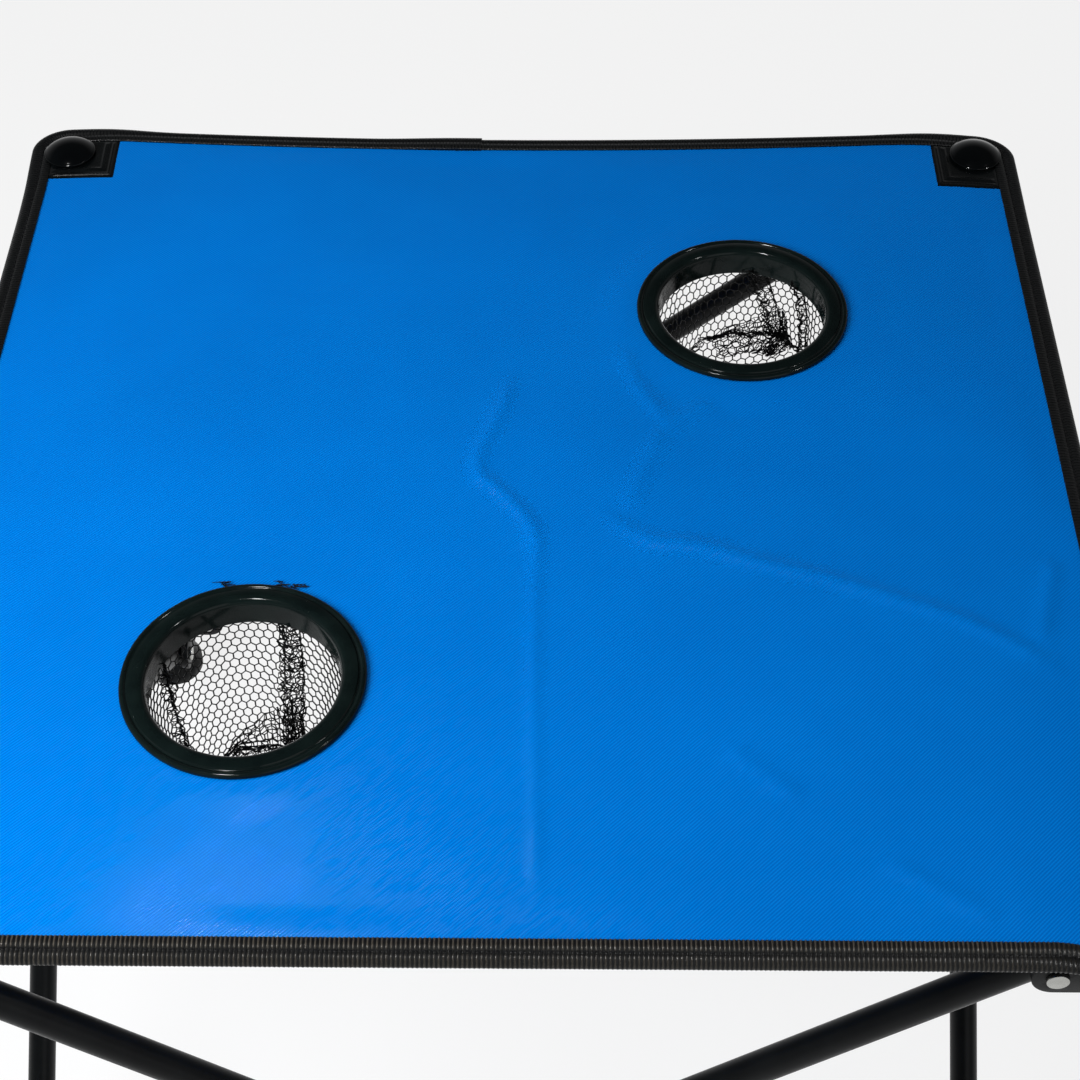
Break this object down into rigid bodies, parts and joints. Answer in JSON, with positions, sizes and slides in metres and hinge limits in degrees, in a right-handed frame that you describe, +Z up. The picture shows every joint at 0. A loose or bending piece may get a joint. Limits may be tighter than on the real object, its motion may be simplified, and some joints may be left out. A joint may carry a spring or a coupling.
{
  "type": "folding camp table",
  "caption": "Low folding camp table: woven cloth top with bound edges and two net cup holders, on crossed steel tubes that fold together at every corner.",
  "frame": {"origin": "on the floor under the middle of the table", "axes": "+Z up, +X to the right, the pictured front edge at -Y"},
  "size_m": [0.526, 0.526, 0.437],
  "materials": {
    "blue_oxford_cloth": "woven polyester with a diagonal rib, slight sheen",
    "black_binding_tape": "ribbed woven tape",
    "black_vinyl": "fine-grained vinyl",
    "black_gloss_cap": "polished moulding",
    "black_ring_plastic": "semi-gloss moulding",
    "black_net": "open knitted net",
    "black_powder_coat": "satin powder coat",
    "black_nylon": "fine-textured moulding",
    "zinc_steel": "bright zinc plate"
  },
  "bodies": {
    "front_left_foot": {"foot_front_left": "black_nylon", "foot_rivets_front_left": "zinc_steel"},
    "front_right_foot": {"foot_front_right": "black_nylon", "foot_rivets_front_right": "zinc_steel"},
    "rear_right_foot": {"foot_rear_right": "black_nylon", "foot_rivets_rear_right": "zinc_steel"},
    "rear_left_foot": {"foot_rear_left": "black_nylon", "foot_rivets_rear_left": "zinc_steel"},
    "front_outer_tube": {"tube_front_outer": "black_powder_coat", "cross_rivet_front": "zinc_steel", "cross_spacer_front": "black_nylon"},
    "front_inner_tube": {"tube_front_inner": "black_powder_coat"},
    "right_outer_tube": {"tube_right_outer": "black_powder_coat", "cross_rivet_right": "zinc_steel", "cross_spacer_right": "black_nylon"},
    "right_inner_tube": {"tube_right_inner": "black_powder_coat"},
    "rear_outer_tube": {"tube_rear_outer": "black_powder_coat", "cross_rivet_rear": "zinc_steel", "cross_spacer_rear": "black_nylon"},
    "rear_inner_tube": {"tube_rear_inner": "black_powder_coat"},
    "left_outer_tube": {"tube_left_outer": "black_powder_coat", "cross_rivet_left": "zinc_steel", "cross_spacer_left": "black_nylon"},
    "left_inner_tube": {"tube_left_inner": "black_powder_coat"},
    "front_left_top": {"top_bracket_front_left": "black_nylon", "top_rivets_front_left": "zinc_steel", "corner_patch_front_left": "black_vinyl", "corner_screw_front_left": "zinc_steel", "corner_cap_front_left": "black_gloss_cap"},
    "front_right_top": {"top_bracket_front_right": "black_nylon", "top_rivets_front_right": "zinc_steel", "corner_patch_front_right": "black_vinyl", "corner_screw_front_right": "zinc_steel", "corner_cap_front_right": "black_gloss_cap"},
    "rear_right_top": {"top_bracket_rear_right": "black_nylon", "top_rivets_rear_right": "zinc_steel", "corner_patch_rear_right": "black_vinyl", "corner_screw_rear_right": "zinc_steel", "corner_cap_rear_right": "black_gloss_cap"},
    "rear_left_top": {"top_bracket_rear_left": "black_nylon", "top_rivets_rear_left": "zinc_steel", "corner_patch_rear_left": "black_vinyl", "corner_screw_rear_left": "zinc_steel", "corner_cap_rear_left": "black_gloss_cap"},
    "front_left_quarter": {"cloth_front_left": "blue_oxford_cloth", "binding_front_left": "black_binding_tape", "cup_ring_left": "black_ring_plastic", "clamp_ring_left": "black_ring_plastic", "net_bag_left": "black_net"},
    "front_right_quarter": {"cloth_front_right": "blue_oxford_cloth", "binding_front_right": "black_binding_tape"},
    "rear_right_quarter": {"cloth_rear_right": "blue_oxford_cloth", "binding_rear_right": "black_binding_tape", "cup_ring_right": "black_ring_plastic", "clamp_ring_right": "black_ring_plastic", "net_bag_right": "black_net"},
    "rear_left_quarter": {"cloth_rear_left": "blue_oxford_cloth", "binding_rear_left": "black_binding_tape"}
  },
  "joints": [
    {"name": "fold", "type": "hinge", "parent": "front_left_foot", "child": "front_inner_tube", "pos_m": [-0.214, -0.2344, 0.045], "axis": [0, -1, 0], "range_deg": [0, 42.1], "deforming": ["cloth_front_left", "binding_front_left", "cloth_front_right", "binding_front_right", "cloth_rear_right", "binding_rear_right", "cloth_rear_left", "binding_rear_left", "net_bag_left", "net_bag_right"]},
    {"name": "front_cross", "type": "hinge", "parent": "front_inner_tube", "child": "front_outer_tube", "pos_m": [0, -0.242, 0.22665], "axis": [0, 1, 0], "range_deg": [0, 84.2]},
    {"name": "front_right_foot_turn", "type": "hinge", "parent": "front_outer_tube", "child": "front_right_foot", "pos_m": [0.214, -0.2496, 0.045], "axis": [0, -1, 0], "range_deg": [0, 42.1]},
    {"name": "front_left_top_turn", "type": "hinge", "parent": "front_outer_tube", "child": "front_left_top", "pos_m": [-0.214, -0.2496, 0.4083], "axis": [0, -1, 0], "range_deg": [0, 42.1]},
    {"name": "front_right_top_turn", "type": "hinge", "parent": "front_inner_tube", "child": "front_right_top", "pos_m": [0.214, -0.2344, 0.4083], "axis": [0, 1, 0], "range_deg": [0, 42.1]},
    {"name": "left_outer_turn", "type": "hinge", "parent": "front_left_foot", "child": "left_outer_tube", "pos_m": [-0.2496, -0.214, 0.045], "axis": [1, 0, 0], "range_deg": [0, 42.1]},
    {"name": "left_cross", "type": "hinge", "parent": "left_outer_tube", "child": "left_inner_tube", "pos_m": [-0.242, 0, 0.22665], "axis": [-1, 0, 0], "range_deg": [0, 84.2]},
    {"name": "rear_left_foot_turn", "type": "hinge", "parent": "left_inner_tube", "child": "rear_left_foot", "pos_m": [-0.2344, 0.214, 0.045], "axis": [1, 0, 0], "range_deg": [0, 42.1]},
    {"name": "rear_left_top_turn", "type": "hinge", "parent": "left_outer_tube", "child": "rear_left_top", "pos_m": [-0.2496, 0.214, 0.4083], "axis": [-1, 0, 0], "range_deg": [0, 42.1]},
    {"name": "right_inner_turn", "type": "hinge", "parent": "front_right_foot", "child": "right_inner_tube", "pos_m": [0.2344, -0.214, 0.045], "axis": [1, 0, 0], "range_deg": [0, 42.1]},
    {"name": "right_cross", "type": "hinge", "parent": "right_inner_tube", "child": "right_outer_tube", "pos_m": [0.242, 0, 0.22665], "axis": [-1, 0, 0], "range_deg": [0, 84.2]},
    {"name": "rear_right_foot_turn", "type": "hinge", "parent": "right_outer_tube", "child": "rear_right_foot", "pos_m": [0.2496, 0.214, 0.045], "axis": [1, 0, 0], "range_deg": [0, 42.1]},
    {"name": "rear_right_top_turn", "type": "hinge", "parent": "right_inner_tube", "child": "rear_right_top", "pos_m": [0.2344, 0.214, 0.4083], "axis": [-1, 0, 0], "range_deg": [0, 42.1]},
    {"name": "rear_outer_turn", "type": "hinge", "parent": "rear_left_foot", "child": "rear_outer_tube", "pos_m": [-0.214, 0.2496, 0.045], "axis": [0, -1, 0], "range_deg": [0, 42.1]},
    {"name": "rear_cross", "type": "hinge", "parent": "rear_outer_tube", "child": "rear_inner_tube", "pos_m": [0, 0.242, 0.22665], "axis": [0, 1, 0], "range_deg": [0, 84.2]},
    {"name": "front_left_gather", "type": "hinge", "parent": "front_left_top", "child": "front_left_quarter", "pos_m": [-0.21654, -0.21654, 0.43], "axis": [0.7071, -0.7071, 0], "range_deg": [0, 79.48]},
    {"name": "front_right_gather", "type": "hinge", "parent": "front_right_top", "child": "front_right_quarter", "pos_m": [0.21654, -0.21654, 0.43], "axis": [0.7071, 0.7071, 0], "range_deg": [0, 79.48]},
    {"name": "rear_right_gather", "type": "hinge", "parent": "rear_right_top", "child": "rear_right_quarter", "pos_m": [0.21654, 0.21654, 0.43], "axis": [-0.7071, 0.7071, 0], "range_deg": [0, 79.48]},
    {"name": "rear_left_gather", "type": "hinge", "parent": "rear_left_top", "child": "rear_left_quarter", "pos_m": [-0.21654, 0.21654, 0.43], "axis": [-0.7071, -0.7071, 0], "range_deg": [0, 79.48]}
  ],
  "couplings": [
    {"joint": "front_cross", "follows": "fold", "ratio": 2},
    {"joint": "front_right_foot_turn", "follows": "fold", "ratio": 1},
    {"joint": "front_left_top_turn", "follows": "fold", "ratio": 1},
    {"joint": "front_right_top_turn", "follows": "fold", "ratio": 1},
    {"joint": "left_outer_turn", "follows": "fold", "ratio": 1},
    {"joint": "left_cross", "follows": "fold", "ratio": 2},
    {"joint": "rear_left_foot_turn", "follows": "fold", "ratio": 1},
    {"joint": "rear_left_top_turn", "follows": "fold", "ratio": 1},
    {"joint": "right_inner_turn", "follows": "fold", "ratio": 1},
    {"joint": "right_cross", "follows": "fold", "ratio": 2},
    {"joint": "rear_right_foot_turn", "follows": "fold", "ratio": 1},
    {"joint": "rear_right_top_turn", "follows": "fold", "ratio": 1},
    {"joint": "rear_outer_turn", "follows": "fold", "ratio": 1},
    {"joint": "rear_cross", "follows": "fold", "ratio": 2},
    {"joint": "front_left_gather", "follows": "fold", "ratio": 1.8878},
    {"joint": "front_right_gather", "follows": "fold", "ratio": 1.8878},
    {"joint": "rear_right_gather", "follows": "fold", "ratio": 1.8878},
    {"joint": "rear_left_gather", "follows": "fold", "ratio": 1.8878}
  ]
}
